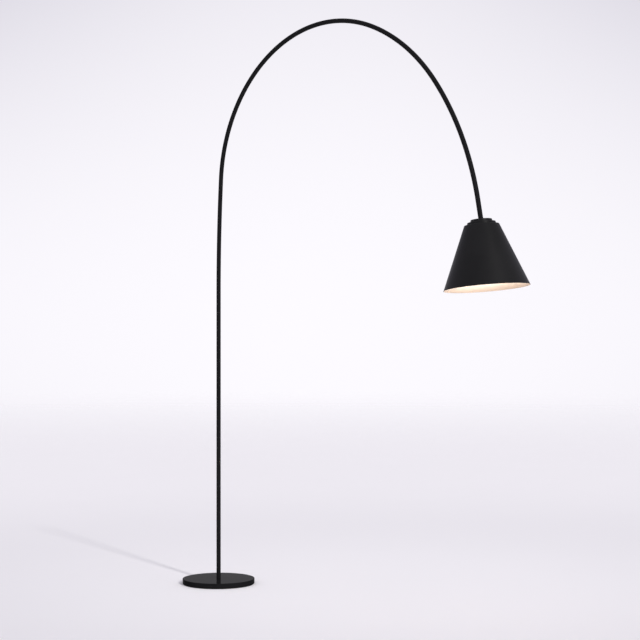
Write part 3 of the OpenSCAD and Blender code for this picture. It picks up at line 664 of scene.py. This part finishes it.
def cap_grid(skin):
    edge = cap_profile(skin)
    open_out = np.linspace(0, 1, 7)[:-1, None]
    top = slot_outline(around) * (1 - open_out) + edge[0, 0] * open_out
    rest = np.repeat(edge[:, :1], SIDES, axis=1)
    depth = np.concatenate([np.full(len(top), edge[0, 1]), edge[:, 1]])
    return turned(np.concatenate([top, rest]), depth)


cap = polish(make_shell("cap", cap_grid(0), cap_grid(1), black_shade))
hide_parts("shade_cap")
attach(cap, "shade")

# %% [markdown]
# ## The shade
# The cone is spun too: a flat shoulder under the cap, a rounded corner, and a straight flare to a thin
# rim. It is black outside and white inside, so the inside cells get the enamel as a lining.

# %% The shade
CONE_TOP_R, RIM_R, CONE_H = 56.0, 139.0, 204.5
SHOULDER = 2 * STEP
CORNER = 3.0
RIM_T = SHOULDER + CONE_H
slope = math.atan2(RIM_R - CONE_TOP_R, CONE_H)
CONE_ROWS = 60


def shade_profile(skin):
    """Shoulder, corner and cone. The corner's circle touches both, and the wall lies inside it."""
    t = WALL * skin
    corner_r = CONE_TOP_R - CORNER * (1 - math.sin(slope)) / math.cos(slope)
    corner = bow(corner_r, SHOULDER + CORNER, CORNER - t, -90, -math.degrees(slope), 12)
    rim = [RIM_R - t / math.cos(slope), RIM_T]
    cone = corner[-1] + np.linspace(0, 1, CONE_ROWS)[1:, None] * (np.array(rim) - corner[-1])
    return np.concatenate([[[FLANGE_R, SHOULDER + t]], corner, cone])


outside, inside = shade_profile(0), shade_profile(1)
shade = make_shell("shade", turned(outside[:, 0], outside[:, 1]), turned(inside[:, 0], inside[:, 1]),
                   black_shade, lining=white_inside)
polish(shade)
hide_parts("shade_shell")
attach(shade, "shade")

# %% [markdown]
# ## The globe
# The bulb's globe is blown to a sphere and cut at the neck, where it is glued to the housing. The rows
# run from the cut to the crown, whose columns all meet in one point and are welded.

# %% The globe
GLOBE_R, GLOBE_WALL, GLOBE_CENTRE, GLOBE_CUT = 30.0, 1.2, 138.0, 123.0


def globe_profile(skin):
    radius = GLOBE_R - GLOBE_WALL * skin
    cut = -math.degrees(math.asin((GLOBE_CENTRE - GLOBE_CUT) / radius))
    return bow(0, GLOBE_CENTRE, radius, cut, 90, 48)


outside, inside = globe_profile(0), globe_profile(1)
globe = make_shell("globe", turned(outside[:, 0], outside[:, 1]), turned(inside[:, 0], inside[:, 1]),
                   opal_glass, open_ends=(True, False))
polish(globe)
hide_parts("bulb_globe")
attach(globe, "shade")

# %% [markdown]
# ## Floor and backdrop
# A pale floor runs out into a pale room. The floor is a wide disc that fades out, so that it has no
# edge from any side, and the room is the world's own light: brightest level with the eye, and dimmer
# and cooler above and to the sides.

# %% The floor
FLOOR_R = 26.0
FLOOR_RINGS = 25
FLOOR_SIDES = 96
floor_rings = np.linspace(0, 1, FLOOR_RINGS)[:, None] ** 1.5 * FLOOR_R
floor_turn = np.linspace(0, 2 * math.pi, FLOOR_SIDES, endpoint=False)
floor_points = np.stack([floor_rings * np.cos(floor_turn), floor_rings * np.sin(floor_turn),
                         np.zeros((FLOOR_RINGS, FLOOR_SIDES))], -1).reshape(-1, 3)
floor_spots = np.arange(FLOOR_RINGS * FLOOR_SIDES).reshape(FLOOR_RINGS, FLOOR_SIDES)
floor_beside = np.roll(floor_spots, -1, axis=1)
floor_faces = np.stack([floor_spots[1:-1], floor_spots[2:], floor_beside[2:], floor_beside[1:-1]], -1)
floor_mesh = bpy.data.meshes.new("floor")
shared = FLOOR_SIDES - 1
middle = [list(range(1, FLOOR_SIDES + 1))]
floor_mesh.from_pydata(floor_points[shared:].tolist(), [],
                       middle + (floor_faces.reshape(-1, 4) - shared).tolist())
floor = bpy.data.objects.new("floor", floor_mesh)
bpy.context.scene.collection.objects.link(floor)
print("floor:", len(floor_mesh.polygons), "faces")

# %% [markdown]
# The floor is matt paper, with a painted pool of light near the lamp and painted shade towards the
# front. The brighter patch stands in for the bulb's pool of light, so it stays where it is when the arc
# swings.

# %% The floor's finish
FADE_FROM, FADE_TO = 4.5, 17.0
POOL_CENTRE = (0.48, 0.43, 0.0)
paper = Finish("floor_paper", Specular_IOR_Level=0.15, Metallic=0.0, Roughness=0.75)
reach = paper.add("ShaderNodeVectorMath", {"operation": "LENGTH"}, {0: paper.place}, "Value")
mottle = paper.noise(3.0)
paper_tone = paper.mix(mottle, (0.945, 0.935, 0.955), (0.955, 0.945, 0.965))
set_back = (paper.along(0) * forward.x + paper.along(1) * forward.y).between(-1.6, 4.0)
to_pool = {0: paper.place, 1: POOL_CENTRE}
from_pool = paper.add("ShaderNodeVectorMath", {"operation": "DISTANCE"}, to_pool, "Value")
# painted pool of light near the lamp and painted shade towards the front
lit = 1.0 - (1.0 - set_back) * from_pool.between(0.3, 2.3)
dim_paper = paper.mix(lit, (0.81, 0.80, 0.83), paper_tone)
paper.feed(Base_Color=dim_paper, Alpha=1.0 - reach.between(FADE_FROM, FADE_TO), Roughness=0.72 + mottle * 0.06)
floor_mesh.materials.append(paper.material)
print("floor fades out between", FADE_FROM, "and", FADE_TO, "m")

# %% [markdown]
# ## Light
# A distant lamp stands low, in front and to the right, and draws the long faint shadow of the pole. It
# looks four degrees across, so the shadow softens along its length. The room gives the rest of the light,
# strongest level with the eye.

# %% The room's light
world = bpy.data.worlds.new("room")
bpy.context.scene.world = world
world.use_nodes = True


class Room(Finish):
    """The world's nodes, made with the same helpers as a material's."""

    def __init__(self, room_world):
        self.material = room_world
        self.tree = room_world.node_tree
        self.shader = self.tree.nodes["Background"]
        self.place = self.add("ShaderNodeTexCoord", output="Generated")

    def towards(self, direction):
        inputs = {0: self.place, 1: tuple(direction)}
        return self.add("ShaderNodeVectorMath", {"operation": "DOT_PRODUCT"}, inputs, "Value")


room = Room(world)
height = room.along(2)
rise = height * height
sideward = room.towards(to_right)
aside = sideward * sideward / (1.0 + sideward * sideward * 8.0)
shade_off = rise * 7.0 + aside * 2.4 + rise * aside * 200.0
wall = room.mix(shade_off, (0.985, 0.965, 1.01), (0.53, 0.508, 0.60))
wall = room.mix(height.between(0.35, 0.75), wall, (0.66, 0.65, 0.68))
room.feed(Color=wall)
print("room light is set")

# %% The soft lamp
key_data = bpy.data.lights.new("soft_key", "SUN")
key_data.angle = math.radians(4)
key_data.energy = 1.9
key_data.color = (1.0, 0.98, 0.96)
key = bpy.data.objects.new("soft_key", key_data)
KEY_FROM = Vector((0.958, -0.285, 0.52))
key.location = KEY_FROM * 4
key.rotation_euler = (-key.location).to_track_quat("-Z", "Y").to_euler()
bpy.context.scene.collection.objects.link(key)
bpy.context.scene.view_settings.view_transform = "Standard"
print("soft lamp at", [round(v, 2) for v in key.location])

# %% [markdown]
# Only the pole and the base cast the soft lamp's shadow. A real lamp would also throw the
# shadow of the arc and the shade across the floor. They are left out here by choice, to keep it plain.

# %% What the soft lamp's light is blocked by
blockers = bpy.data.collections.new("key_blockers")
for piece in (pole, bpy.data.objects["base_plate"], bpy.data.objects["foot_pad"]):
    blockers.objects.link(piece)
key.light_linking.blocker_collection = blockers
